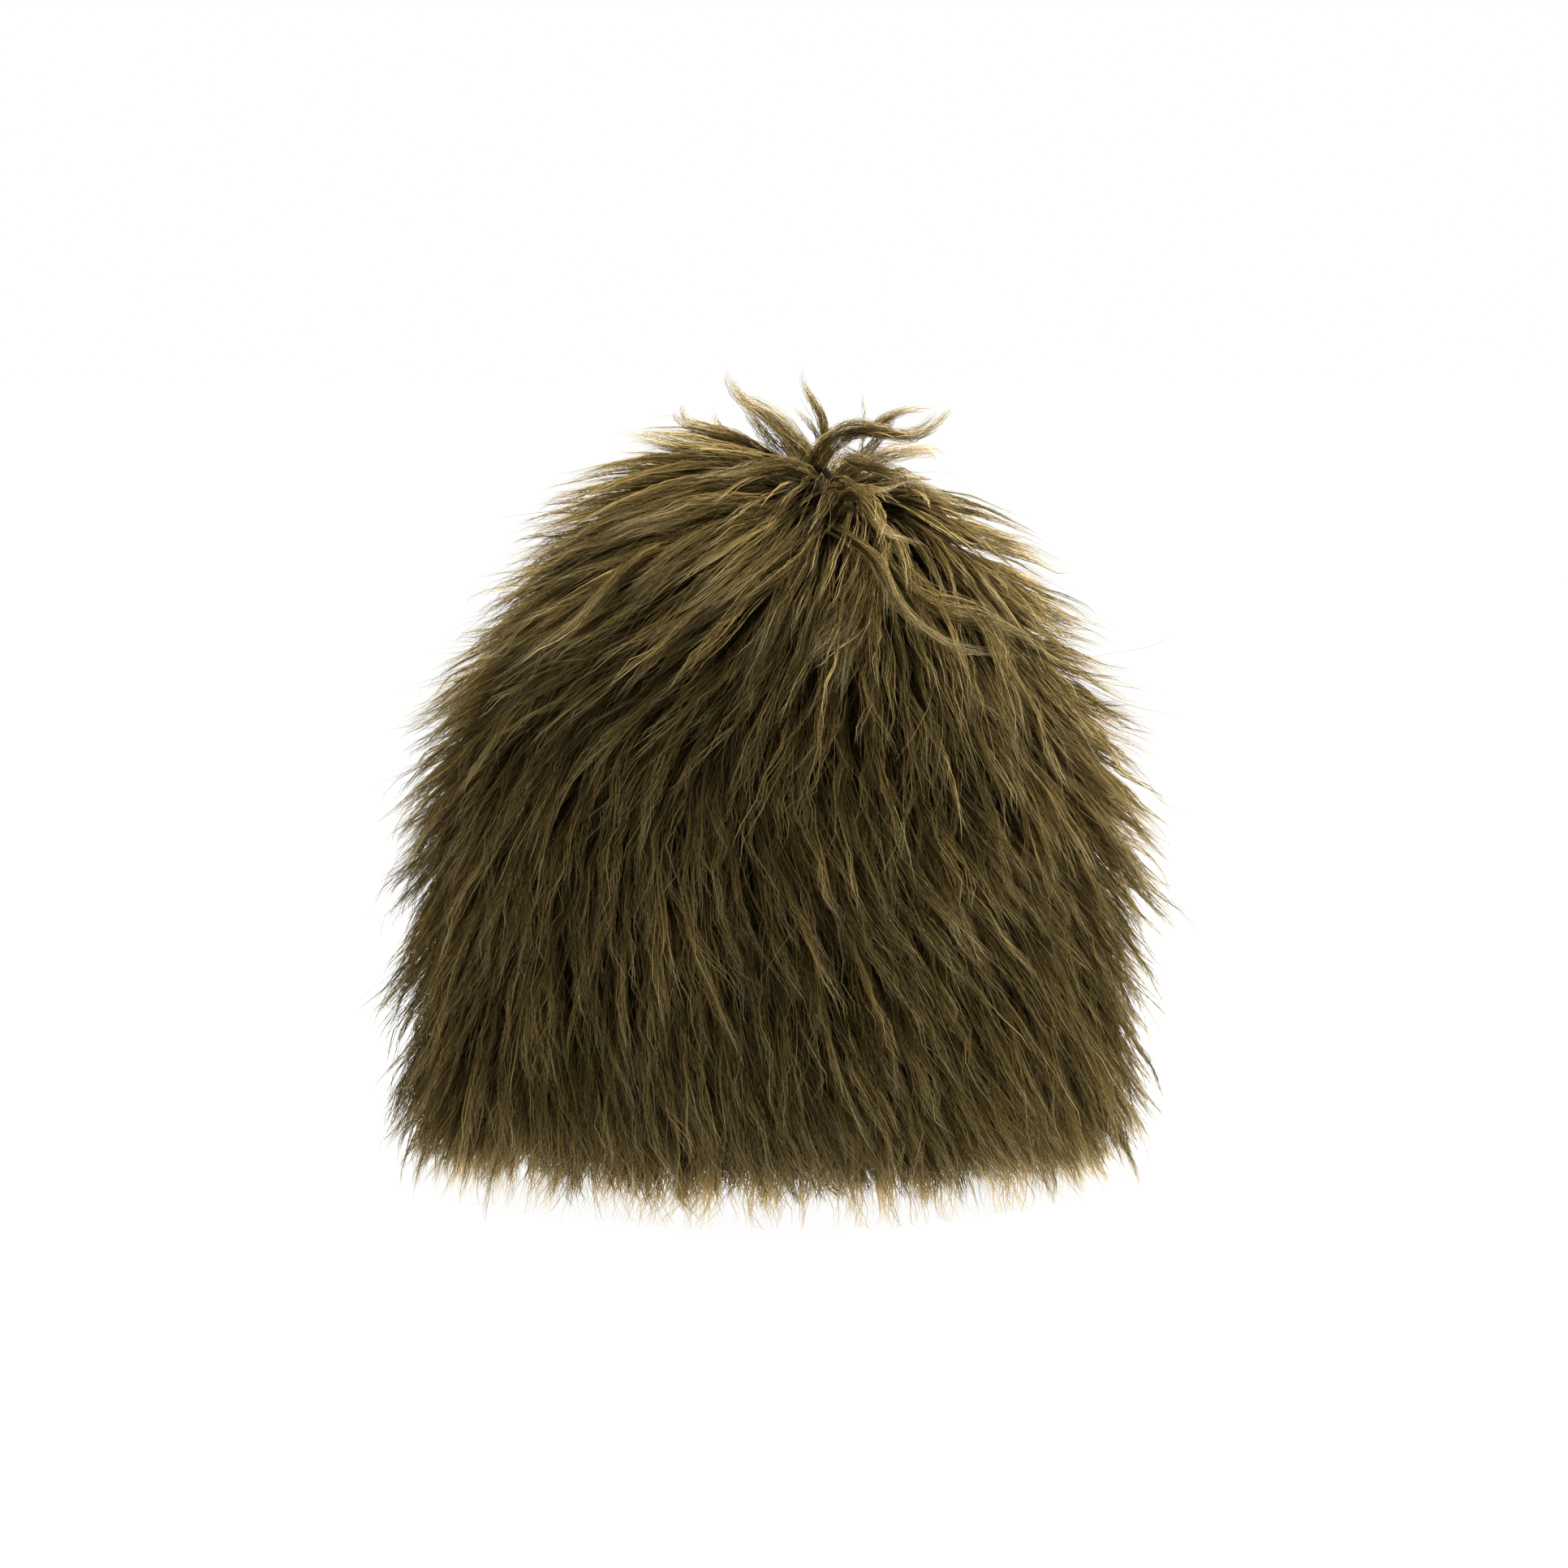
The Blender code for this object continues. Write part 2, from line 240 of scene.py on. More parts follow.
def meridian():
    """Radius and height of the backing from apex to hem, and the share of its area above each."""
    turn = np.linspace(math.pi / 2, 0, 300)
    radius = np.append(OUTER_RADIUS * np.cos(turn), OUTER_RADIUS)
    z = np.append(SHOULDER_Z + DOME_RISE * np.sin(turn), HEM_Z)
    run = np.hypot(np.diff(radius), np.diff(z))
    area = np.append(0, np.cumsum(run * (radius[1:] + radius[:-1]) / 2))
    return radius, z, area / area[-1]


def onto_dome(x, y):
    """Points of the backing's dome above the given places."""
    rise = np.maximum(1 - (x**2 + y**2) / OUTER_RADIUS**2, 0)
    return np.column_stack([x, y, SHOULDER_Z + DOME_RISE * np.sqrt(rise)])


def roots_on_dome(count, jitter):
    """Points spread evenly over the backing, in a golden-angle spiral with some jitter, and
    some more close to the whorl."""
    radius, z, share = meridian()
    near = int(count * NEAR_WHORL)
    n = count - near
    i = np.arange(n)
    at = np.clip((i + 0.5 + RANDOM.uniform(-jitter, jitter, n) * math.sqrt(n)) / n, 0, 1)
    turn = i * math.pi * (3 - math.sqrt(5)) + RANDOM.uniform(-jitter, jitter, n) * 0.2
    r, h = np.interp(at, share, radius), np.interp(at, share, z)
    even = np.column_stack([r * np.cos(turn), r * np.sin(turn), h])
    turn = RANDOM.uniform(0, 2 * math.pi, near)
    r = 0.002 + 0.036 * RANDOM.uniform(0, 1, near)
    close = onto_dome(WHORL[0] + r * np.cos(turn), WHORL[1] + r * np.sin(turn))
    return np.concatenate([even, close])


def smooth_noise(p, scale, seed):
    """Slowly varying numbers from about -1 to 1, one for each point: waves of three sizes, three
    of each."""
    r = np.random.default_rng(seed)
    total = np.zeros(p.shape[:-1])
    for k in range(3):
        for _ in range(3):
            way = normalised(r.normal(size=3)) * (2 * math.pi / scale) * (1.7**k)
            total += np.sin(p @ way + r.uniform(0, 2 * math.pi)) * 0.6**k
    return total / 3


def flow(roots):
    """How far hair wanders off straight down, the same for neighbours."""
    return drift(roots) + FLOW * smooth_noise(roots, FLOW_SCALE, seed=3)


def grow(roots, length, root_lift, tip_lift, sway, steps):
    """Paths from roots: steep at first, then combed down along the dome."""
    points = [roots]
    for k in range(steps):
        s = (k + 0.5) / steps
        p = points[-1]
        lift = (root_lift + (tip_lift - root_lift) * s**0.75)[:, None]
        normal = dome_normal(p)
        down = combed(p, normal)
        side = np.cross(down, normal)
        run = normalised(down + side * sway[:, None] * (0.4 + s))
        points.append(p + (run * np.cos(lift) + normal * np.sin(lift)) * (length / steps)[:, None])
    return np.stack(points, 1)


def facing_front(roots):
    """0 at the sides and back, up to 1 where the root looks at the front."""
    x, y = roots[:, 0] - WHORL[0], roots[:, 1] - WHORL[1]
    flat = np.hypot(x, y)
    return np.clip((-y / np.maximum(flat, 1e-6) - 0.15) / 0.6, 0, 1) * np.clip(flat / 0.012, 0, 1)


def near_hem(roots):
    """1 at the hem, down to 0 some way above it."""
    return np.clip(1 - (roots[:, 2] - HEM_Z) / HEM_REACH, 0, 1)


def height_share(roots):
    """0 up to the middle of the hat, 1 at its apex."""
    return np.clip((roots[:, 2] - MIDDLE_Z) / (APEX_Z - MIDDLE_Z), 0, 1)


def fitted_length(roots, length):
    """Hair near the hem is short enough for its tips to end in the fringe."""
    turned = -roots[:, 1] / np.maximum(np.hypot(roots[:, 0], roots[:, 1]), 1e-6)
    turned = np.clip(turned, 0, 1)
    low = FRINGE_TIP_LOW + 0.0022 + 0.0026 * turned
    tip_z = low + (0.013 + 0.003 * turned) * RANDOM.uniform(0, 1, len(roots)) ** 1.6
    room = (roots[:, 2] - tip_z) / (0.70 + 0.14 * turned)
    return np.minimum(length * (1 + 0.18 * near_hem(roots)), np.maximum(room, SHORTEST_HAIR))


def lengths(roots, low, high):
    """Longer in front, where the fur lies flatter."""
    wanted = HAIR_LENGTH + FRONT_LONGER * facing_front(roots)
    return fitted_length(roots, wanted * RANDOM.uniform(low, high, len(roots)))


def lifts(roots, root_spread, tip_spread):
    """How steeply hair leaves each root, and ends: flat in front, flicked out at the sides and
    back of the crown, and flared at the girth."""
    n = len(roots)
    up = height_share(roots)
    hem = near_hem(roots)
    front = facing_front(roots)
    behind = np.clip((roots[:, 1] + 0.005) / 0.03, -1, 1)
    across = np.clip(roots[:, 0] / 0.05, -1, 1)
    girth = np.exp(-((roots[:, 2] - GIRTH_Z) / GIRTH_SPREAD) ** 2)
    flick = np.clip(1.7 * up, 0, 1) * (1 - front) * calm(roots)
    root = (ROOT_LIFT + RANDOM.normal(0, root_spread, n) * calm(roots) + HEM_LIFTS[0] * hem
            + FRONT_LIFTS[0] * front + up * (BEHIND_LIFTS[0] * behind + CROWN_LIFTS[0])
            + FLICK_LIFTS[0] * flick)
    around = ((GIRTH_LIFT + RIGHT_GIRTH * across) * girth + RIGHT_CROWN * up * across
              + (RIGHT_HEM * across + HEM_LIFTS[1]) * hem)
    tip = (TIP_LIFT + RANDOM.normal(0, tip_spread, n) * calm(roots) + FRONT_LIFTS[1] * front
           + up * (BEHIND_LIFTS[1] * behind + CROWN_LIFTS[1]) + FLICK_LIFTS[1] * flick
           + around * (1 - front))
    return np.radians(root), np.radians(tip)


def drift(roots):
    """How far the front is combed off straight down: parted at the crown, and to the right
    below it."""
    low = np.clip((LEAN_Z - roots[:, 2]) / 0.05, 0, 1)
    high = np.clip((roots[:, 2] - PARTING_Z) / 0.04, 0, 1)
    parted = PARTING * np.clip((roots[:, 0] - WHORL[0]) / 0.03, -1, 0.45) * high
    return -facing_front(roots) * (parted + LEAN * low * (1 - 0.5 * near_hem(roots)))


def on_path(paths, s):
    """Points at shares s along each path. paths (n, k, 3), s (n, m)."""
    k = paths.shape[1] - 1
    at = np.clip(s, 0, 1) * k
    low = np.minimum(at.astype(int), k - 1)
    part = (at - low)[..., None]
    rows = np.arange(len(paths))[:, None]
    return paths[rows, low] * (1 - part) + paths[rows, low + 1] * part


def nearest(points, centres):
    """For each point, which centre is nearest."""
    tree = KDTree(len(centres))
    for i, c in enumerate(centres):
        tree.insert(c, i)
    tree.balance()
    return np.array([tree.find(p)[1] for p in points])


def calm(roots):
    """1 away from the whorl, less close to it, where the hair is seen end on."""
    near = np.hypot(roots[:, 0] - WHORL[0], roots[:, 1] - WHORL[1])
    return np.clip(near / CALM_RADIUS, 0.12, 1) ** 1.2


def make_tufts():
    """Roots, lengths and paths of the tufts that the locks gather into."""
    roots = roots_on_dome(TUFTS, 0.25)
    length = lengths(roots, 0.85, 1.10)
    lift, tip = lifts(roots, 4, 8)
    sway = flow(roots) + RANDOM.normal(0, 0.16, len(roots)) * calm(roots)
    return roots, length, grow(roots, length, lift, tip, sway, FINE_STEPS)


def waved(paths, length, sizes, waves, phase):
    """A slow sideways wave along each path, none at the root."""
    n, m, _ = paths.shape
    s = np.linspace(0, 1, m)[None, :]
    normal = dome_normal(paths)
    side = np.cross(combed(paths, normal), normal)
    turns = 2 * math.pi * length[:, None] * s / waves[:, None]
    size = sizes[:, None] * s
    return (paths + side * (size * np.sin(turns + phase[0][:, None]))[..., None]
            + normal * (0.7 * size * np.sin(turns + phase[1][:, None]))[..., None])


def make_locks(tuft_roots, tuft_length, tuft_paths):
    """Roots, lengths and paths of the wavy locks that the strands gather into."""
    roots = roots_on_dome(LOCKS, 0.30)
    n = len(roots)
    mine = nearest(roots, tuft_roots)
    length = fitted_length(roots, tuft_length[mine] * RANDOM.uniform(0.72, 1.10, n))
    front = facing_front(roots)
    lift, tip = lifts(roots, 6, 9 + 5 * (1 - front))
    sway = flow(roots) + RANDOM.normal(0, 0.20, n) * calm(roots)
    own = grow(roots, length, lift, tip, sway, FINE_STEPS)
    s = np.linspace(0, 1, FINE_STEPS + 1)[None, :]
    pull = RANDOM.uniform(0.35, 0.82, n) - front * RANDOM.uniform(0.15, 0.40, n)
    share = (length / np.maximum(tuft_length[mine], 1e-6))[:, None]
    theirs = on_path(tuft_paths[mine], s * np.minimum(share, 1))
    paths = own + (theirs - own) * (pull[:, None] * s**1.25)[..., None]
    sizes = RANDOM.uniform(0.0005, 0.0030, n) * calm(roots)
    sizes = sizes * (1 + 0.8 * height_share(roots) * (1 - front))
    paths = waved(paths, length, sizes, RANDOM.uniform(0.016, 0.032, n),
                  RANDOM.uniform(0, 2 * math.pi, (2, n)))
    return roots, length, paths


def make_strands(lock_roots, lock_length, lock_paths):
    """For each strand its path, its lock, the share of the lock's length at each point, and its
    root."""
    roots = roots_on_dome(STRANDS, 0.35)
    n = len(roots)
    mine = nearest(roots, lock_roots)
    reach = RANDOM.uniform(0.60, 1.0, n) ** 0.8
    reach += (1 - reach) * 0.6 * near_hem(roots)
    s = np.append(0, np.linspace(0.34, 1, STEPS) ** 0.85)[None, :]  # few points at the hidden root
    centre = on_path(lock_paths[mine], s * reach[:, None])
    front = facing_front(roots)
    most = (RANDOM.uniform(0.30, 0.92, n) - front * RANDOM.uniform(0.0, 0.25, n)) * calm(roots)
    offset = (roots - lock_roots[mine])[:, None, :] * (1 - most[:, None] * s**0.9)[..., None]
    paths = centre + offset
    lock_phase = RANDOM.uniform(0, 2 * math.pi, (2, len(lock_roots)))
    sizes = RANDOM.uniform(0.0001, 0.0014, n) * calm(roots)
    waves = RANDOM.uniform(0.020, 0.034, n)
    phase = lock_phase[:, mine] + RANDOM.normal(0, 0.8, (2, n))
    paths = waved(paths, lock_length[mine] * reach, sizes, waves, phase)
    frizz = RANDOM.normal(0, 1, paths.shape)
    frizz[:, 0] = 0
    paths = paths + frizz * (RANDOM.uniform(0.00010, 0.00060, n)[:, None] * np.sqrt(s))[..., None]
    return paths, mine, s * reach[:, None], roots


def make_flyaways():
    """Single hairs that follow no lock."""
    roots = roots_on_dome(FLYAWAYS, 0.5)
    n = len(roots)
    length = lengths(roots, 0.75, 1.10)
    lift, tip = lifts(roots, 7, 12)
    sway = drift(roots) + RANDOM.normal(0, 0.5, n) * calm(roots)
    paths = grow(roots, length, lift, tip, sway, STEPS)
    frizz = RANDOM.normal(0, 0.0007, paths.shape)
    frizz[:, 0] = 0
    return paths + frizz


def make_fringe():
    """Short wavy locks that hang all round the hem, so the edge of the wall of fur never shows."""
    n = FRINGE_HAIRS
    mine = RANDOM.integers(0, FRINGE_LOCKS, n)
    lock_turn = RANDOM.uniform(0, 2 * math.pi, FRINGE_LOCKS)
    spread = RANDOM.normal(0, 0.016, n)
    turn = lock_turn[mine] + spread
    r = OUTER_RADIUS + RANDOM.uniform(-0.001, 0.008, n)
    z = HEM_Z + RANDOM.uniform(-0.001, 0.014, n)
    roots = np.column_stack([r * np.cos(turn), r * np.sin(turn), z])
    wanted = 0.012 + 0.019 * RANDOM.uniform(0, 1, FRINGE_LOCKS)[mine] ** 2
    wanted = wanted * RANDOM.uniform(0.80, 1.0, n)
    length = np.minimum(wanted, (z - FRINGE_TIP_LOW) / 0.80)
    lift = np.radians(RANDOM.uniform(10, 64, FRINGE_LOCKS)[mine] + RANDOM.normal(0, 4, n))
    sway = RANDOM.normal(0, 0.25, FRINGE_LOCKS)[mine] + 1.1 * spread * r / length
    paths = grow(roots, length, lift, 0.4 * lift, sway, FRINGE_STEPS)
    phase = RANDOM.uniform(0, 2 * math.pi, (2, FRINGE_LOCKS))[:, mine]
    phase = phase + RANDOM.normal(0, 0.4, (2, n))
    return waved(paths, length, RANDOM.uniform(0.0006, 0.0020, n),
                 RANDOM.uniform(0.010, 0.018, FRINGE_LOCKS)[mine], phase)


def make_whorl():
    """Short fuzz around the point that all the hair leaves, dark with its own roots and with
    painted shade of the hollow there.
    """
    n = WHORL_HAIRS
    turn = RANDOM.uniform(0, 2 * math.pi, n)
    r = 0.010 * np.sqrt(RANDOM.uniform(0, 1, n))
    roots = onto_dome(WHORL[0] + r * np.cos(turn), WHORL[1] - 0.004 + 1.3 * r * np.sin(turn))
    length = RANDOM.uniform(0.007, 0.014, n)
    lift = np.radians(RANDOM.uniform(20, 70, n))
    sway = RANDOM.normal(0, 0.5, n)
    return grow(roots, length, lift, 0.6 * lift, sway, WHORL_STEPS)


def smooth_curve(through, shares):
    """Points of a Catmull-Rom curve through the given places."""
    p = np.array(through, float)
    p = np.concatenate([[2 * p[0] - p[1]], p, [2 * p[-1] - p[-2]]])
    at = np.clip(shares, 0, 1) * (len(p) - 3)
    k = np.minimum(at.astype(int), len(p) - 4)
    t = (at - k)[..., None]
    a, b, c, d = p[k], p[k + 1], p[k + 2], p[k + 3]
    return 0.5 * (2 * b + (c - a) * t + (2 * a - 5 * b + 4 * c - d) * t**2
                  + (3 * b - 3 * c + d - a) * t**3)


def make_bundles(locks, root_shade):
    """Locks at the crown. Each parts into thinner locks that end at different lengths."""
    paths, tones, alongs = [], [], []
    for n, widths, shade, through in locks:
        parts = 3 + n // PART_STRANDS
        mine = RANDOM.integers(0, parts, n)
        ends = RANDOM.uniform(0.52, 1.0, parts) ** 0.65
        ends[0] = 1
        reach = ends[mine] * RANDOM.uniform(0.80, 1.0, n)
        s = np.linspace(0, 1, BUNDLE_STEPS + 1)[None, :] * reach[:, None]
        centre = smooth_curve(through, s) / 1000
        width = np.interp(s, (0, 0.5, 1), widths) / 1000
        way = RANDOM.normal(0, 0.50, (parts, 3))
        lean = way[mine][:, None, :] * width[..., None]
        own = normalised(RANDOM.normal(0, 1, (n, 1, 3))) * RANDOM.uniform(0, 1, (n, 1, 1)) ** 0.5
        loose = 1 + 1.3 * (RANDOM.uniform(0, 1, (n, 1)) < 0.12) * s
        own = own * (loose * (0.0004 + 0.32 * width))[..., None]
        wave = RANDOM.uniform(0, 2 * math.pi, (parts, 3))[mine][:, None, :] + s[..., None] * 11
        curl = np.sin(wave + RANDOM.normal(0, 0.5, (n, 1, 3)))
        curl = curl * (0.5 * width * s * RANDOM.uniform(0.2, 1.4, n)[:, None])[..., None]
        frizz = RANDOM.normal(0, 0.00036, centre.shape)
        paths.append(centre + lean + own + curl + frizz)
        part_tone = RANDOM.uniform(0.65, 1.30, parts) * shade
        tones.append(np.column_stack([part_tone[mine], np.exp(RANDOM.normal(-0.15, 0.60, n))]))
        alongs.append(root_shade + (1 - root_shade) * s**0.8)
    return np.concatenate(paths), np.concatenate(tones), np.concatenate(alongs)


def set_faces(mesh, n, m):
    """Faces of n ribbons with m points each: quads, and a triangle at the tip."""
    per = 2 * m - 1
    base = (np.arange(n) * per)[:, None]
    k = 2 * np.arange(m - 2)[None, :]
    quads = np.stack([base + k, base + k + 1, base + k + 3, base + k + 2], -1)
    corners = np.concatenate([quads.reshape(n, -1), base + per - 3 + np.arange(3)], 1)
    sizes = np.tile(np.append(np.full(m - 2, 4), 3), n).astype(np.int32)
    mesh.loops.add(corners.size)
    mesh.loops.foreach_set("vertex_index", corners.astype(np.int32).ravel())
    mesh.polygons.add(len(sizes))
    mesh.polygons.foreach_set("loop_start", np.append(0, np.cumsum(sizes)[:-1]).astype(np.int32))
    mesh.polygons.foreach_set("use_smooth", np.ones(len(sizes), bool))


def set_colours(mesh, paths, along, tone):
    """How far along its hair each vertex is, and the tones of its lock and its strand, with
    painted shade in the pit in front of the whorl and painted light on hair near the floor.
    """
    # painted shade: hair near the pit in front of the whorl takes colours nearer its dark root
    painted_shade_distance = np.linalg.norm(paths - PAINTED_SHADE_PIT, axis=-1) / PAINTED_SHADE_PIT_RADIUS
    along = along * (PAINTED_SHADE_PIT_DEPTH + (1 - PAINTED_SHADE_PIT_DEPTH) * np.clip(painted_shade_distance, 0, 1) ** 1.5)
    # painted light: hair near the floor is made paler, for the light it catches from the floor and
    # through the fringe
    pale = 1 + HEM_PAINTED_LIGHT * np.clip(1 - paths[..., 2] / HEM_PAINTED_LIGHT_Z, 0, 1)
    n, m, _ = paths.shape
    hair = np.ones((n, 2 * m - 1, 4), np.float32)
    hair[..., 0] = np.repeat(along, 2, axis=1)[:, :-1]
    hair[..., 1] = np.repeat(tone[:, 0, None] * pale, 2, axis=1)[:, :-1]
    hair[..., 2] = tone[:, 1, None]
    colour = mesh.color_attributes.new("hair", "FLOAT_COLOR", "POINT")
    colour.data.foreach_set("color", hair.ravel())


def ribbon_mesh(name, paths, along, tone, half_width):
    """One mesh of flat tapering ribbons, one for each path, each ending in a point."""
    n, m, _ = paths.shape
    paths[..., 2] = np.maximum(paths[..., 2], FLOOR_CLEARANCE)
    run = normalised(np.gradient(paths, axis=1))
    side = normalised(np.cross(run, dome_normal(paths)))
    up = np.cross(side, run)
    turn = RANDOM.normal(0, RIBBON_TWIST, n)[:, None, None]
    side = side * np.cos(turn) + up * np.sin(turn)
    s = np.linspace(0, 1, m)[None, :]
    # Widest near a third of the way, then tapering
    half = half_width[:, None] * (0.75 + 0.5 * np.minimum(s * 3, 1) - 1.05 * s**1.6)
    half = np.maximum(half, RIBBON_TIP * half_width[:, None])
    edge = (side * half[..., None])[:, :-1]
    co = np.empty((n, 2 * m - 1, 3), np.float32)
    co[:, 0:-1:2] = paths[:, :-1] - edge
    co[:, 1:-1:2] = paths[:, :-1] + edge
    co[:, -1] = paths[:, -1]
    mesh = bpy.data.meshes.new(name)
    mesh.vertices.add(co.size // 3)
    mesh.vertices.foreach_set("co", co.ravel())
    set_faces(mesh, n, m)
    set_colours(mesh, paths, along, tone)
    mesh.update()
    mesh.validate()
    made = bpy.data.objects.new(name, mesh)
    bpy.context.scene.collection.objects.link(made)
    return made


def node(tree, kind, inputs=None, **settings):
    """A new node, with values for some of its sockets."""
    made = tree.nodes.new(kind)
    for key, value in settings.items():
        setattr(made, key, value)
    for key, value in (inputs or {}).items():
        made.inputs[key].default_value = value
    return made


def new_material(name, surface):
    """A new material with values on its shader's sockets, its node tree and its shader."""
    mat = bpy.data.materials.new(name)
    mat.use_nodes = True
    shader = mat.node_tree.nodes["Principled BSDF"]
    for key, value in surface.items():
        shader.inputs[key].default_value = value
    return mat, mat.node_tree, shader


def add_relief(tree, shader, height, strength, distance):
    """Bump from a socket that gives the height."""
    bump = node(tree, "ShaderNodeBump", {"Strength": strength, "Distance": distance})
    tree.links.new(height, bump.inputs["Height"])
    tree.links.new(bump.outputs["Normal"], shader.inputs["Normal"])


def two_colours(tree, dark, pale):
    """A ramp between two colours."""
    ramp = node(tree, "ShaderNodeValToRGB")
    ramp.color_ramp.elements[0].color = (*dark, 1)
    ramp.color_ramp.elements[1].color = (*pale, 1)
    return ramp


def hair_material():
    """Four browns from root to tip, partly the hair's own and partly painted shade at the roots
    and painted light at the tips, times the tones of the lock and the strand. Some of the light
    goes through."""
    mat, tree, shader = new_material("hair", {"Roughness": 0.6, "Specular IOR Level": 0.0})
    hair = node(tree, "ShaderNodeVertexColor", layer_name="hair")
    parts = node(tree, "ShaderNodeSeparateColor")
    tree.links.new(hair.outputs["Color"], parts.inputs["Color"])
    ramp = two_colours(tree, HAIR_BROWNS_AND_PAINTED_LIGHT[0][1], HAIR_BROWNS_AND_PAINTED_LIGHT[-1][1])
    for position, colour in HAIR_BROWNS_AND_PAINTED_LIGHT[1:-1]:
        ramp.color_ramp.elements.new(position).color = (*colour, 1)
    tree.links.new(parts.outputs["Red"], ramp.inputs["Fac"])
    tone = node(tree, "ShaderNodeMath", operation="MULTIPLY")
    tree.links.new(parts.outputs["Green"], tone.inputs[0])
    tree.links.new(parts.outputs["Blue"], tone.inputs[1])
    scaled = node(tree, "ShaderNodeVectorMath", operation="SCALE")
    tree.links.new(ramp.outputs["Color"], scaled.inputs[0])
    tree.links.new(tone.outputs[0], scaled.inputs["Scale"])
    tree.links.new(scaled.outputs[0], shader.inputs["Base Color"])
    through = node(tree, "ShaderNodeBsdfTranslucent")
    tree.links.new(scaled.outputs[0], through.inputs["Color"])
    mix = node(tree, "ShaderNodeMixShader", {"Fac": LIGHT_THROUGH})
    tree.links.new(shader.outputs[0], mix.inputs[1])
    tree.links.new(through.outputs[0], mix.inputs[2])
    tree.links.new(mix.outputs[0], tree.nodes["Material Output"].inputs["Surface"])
    return mat


def underfur_material():
    """Dark matted hair with a fine grain."""
    mat, tree, shader = new_material("underfur", {"Roughness": 0.95, "Specular IOR Level": 0.04})
    place = node(tree, "ShaderNodeTexCoord")
    noise = node(tree, "ShaderNodeTexNoise", {"Scale": 700, "Detail": 4})
    tree.links.new(place.outputs["Object"], noise.inputs["Vector"])
    ramp = two_colours(tree, (0.006, 0.004, 0.002), (0.035, 0.026, 0.011))
    tree.links.new(noise.outputs["Fac"], ramp.inputs["Fac"])
    tree.links.new(ramp.outputs["Color"], shader.inputs["Base Color"])
    add_relief(tree, shader, noise.outputs["Fac"], 0.8, 0.001)
    return mat


def knit_material():
    """Fine knit, seen inside the hat: rows of loops with a soft uneven tone."""
    mat, tree, shader = new_material("knit", {"Roughness": 0.92})
    place = node(tree, "ShaderNodeTexCoord")
    rows = node(tree, "ShaderNodeTexWave", {"Scale": 160, "Distortion": 1.5}, bands_direction="Z")
    tree.links.new(place.outputs["Object"], rows.inputs["Vector"])
    noise = node(tree, "ShaderNodeTexNoise", {"Scale": 120})
    tree.links.new(place.outputs["Object"], noise.inputs["Vector"])
    mixed = node(tree, "ShaderNodeMath", operation="MULTIPLY")
    tree.links.new(rows.outputs["Fac"], mixed.inputs[0])
    tree.links.new(noise.outputs["Fac"], mixed.inputs[1])
    ramp = two_colours(tree, (0.022, 0.017, 0.008), (0.075, 0.058, 0.028))
    tree.links.new(mixed.outputs[0], ramp.inputs["Fac"])
    tree.links.new(ramp.outputs["Color"], shader.inputs["Base Color"])
    add_relief(tree, shader, mixed.outputs[0], 0.6, 0.0008)
    return mat


def underfur():
    """Lumpy closed wall of matted hair around the backing."""
    around, up = 120, 60
    radius, z, _ = meridian()
    length = np.append(0, np.cumsum(np.hypot(np.diff(radius), np.diff(z))))
    at = np.linspace(0, length[-1], up + 1)[1:]
    r, h = np.interp(at, length, radius), np.interp(at, length, z)
    turn = np.linspace(0, 2 * math.pi, around, endpoint=False)
    grid = np.stack([r[:, None] * np.cos(turn), r[:, None] * np.sin(turn),
                     np.repeat(h[:, None], around, 1)], -1)
    normal = dome_normal(grid)
    lump = UNDERFUR_DEPTH + UNDERFUR_LUMPS * smooth_noise(grid, UNDERFUR_LUMP_SIZE, seed=5)
    lump = lump * np.clip((grid[..., 2] - HEM_Z + 0.006) / 0.022, 0, 1)
    outer = grid + normal * lump[..., None]
    inner = grid + normal * UNDERFUR_GAP
    top = np.array([[0, 0, APEX_Z + UNDERFUR_DEPTH], [0, 0, APEX_Z + UNDERFUR_GAP]])
    co = np.concatenate([outer.reshape(-1, 3), inner.reshape(-1, 3), top])
    faces = []
    shift = up * around
    for j in range(up - 1):
        for i in range(around):
            n = (i + 1) % around
            a, b, c, d = j * around + i, j * around + n, (j + 1) * around + n, (j + 1) * around + i
            faces.append((a, d, c, b))
            faces.append((a + shift, b + shift, c + shift, d + shift))
    for i in range(around):
        n = (i + 1) % around
        faces.append((2 * shift, i, n))
        faces.append((2 * shift + 1, shift + n, shift + i))
        low = (up - 1) * around
        faces.append((low + i, low + i + shift, low + n + shift, low + n))
    mesh = bpy.data.meshes.new("underfur")
    mesh.from_pydata(co.tolist(), [], faces)
    mesh.shade_smooth()
    made = bpy.data.objects.new("underfur", mesh)
    bpy.context.scene.collection.objects.link(made)
    return made


def as_fur(piece, mat):
    """A piece that stands for the CAD fur."""
    piece.data.materials.append(mat)
    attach(piece, "root")
    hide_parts("fur_pile")


def zones(roots):
    """Which piece each strand belongs to: the crown, or a side of the hat below it."""
    turn = np.degrees(np.arctan2(roots[:, 1], roots[:, 0])) % 360
    crown = roots[:, 2] > CROWN_Z
    names = ("back_right", "back", "left", "front", "front_right")
    side = (turn // (360 / len(names))).astype(int)
    found = {"fur_crown": crown}
    for k, name in enumerate(names):
        found["fur_" + name] = ~crown & (side == k)
    return found


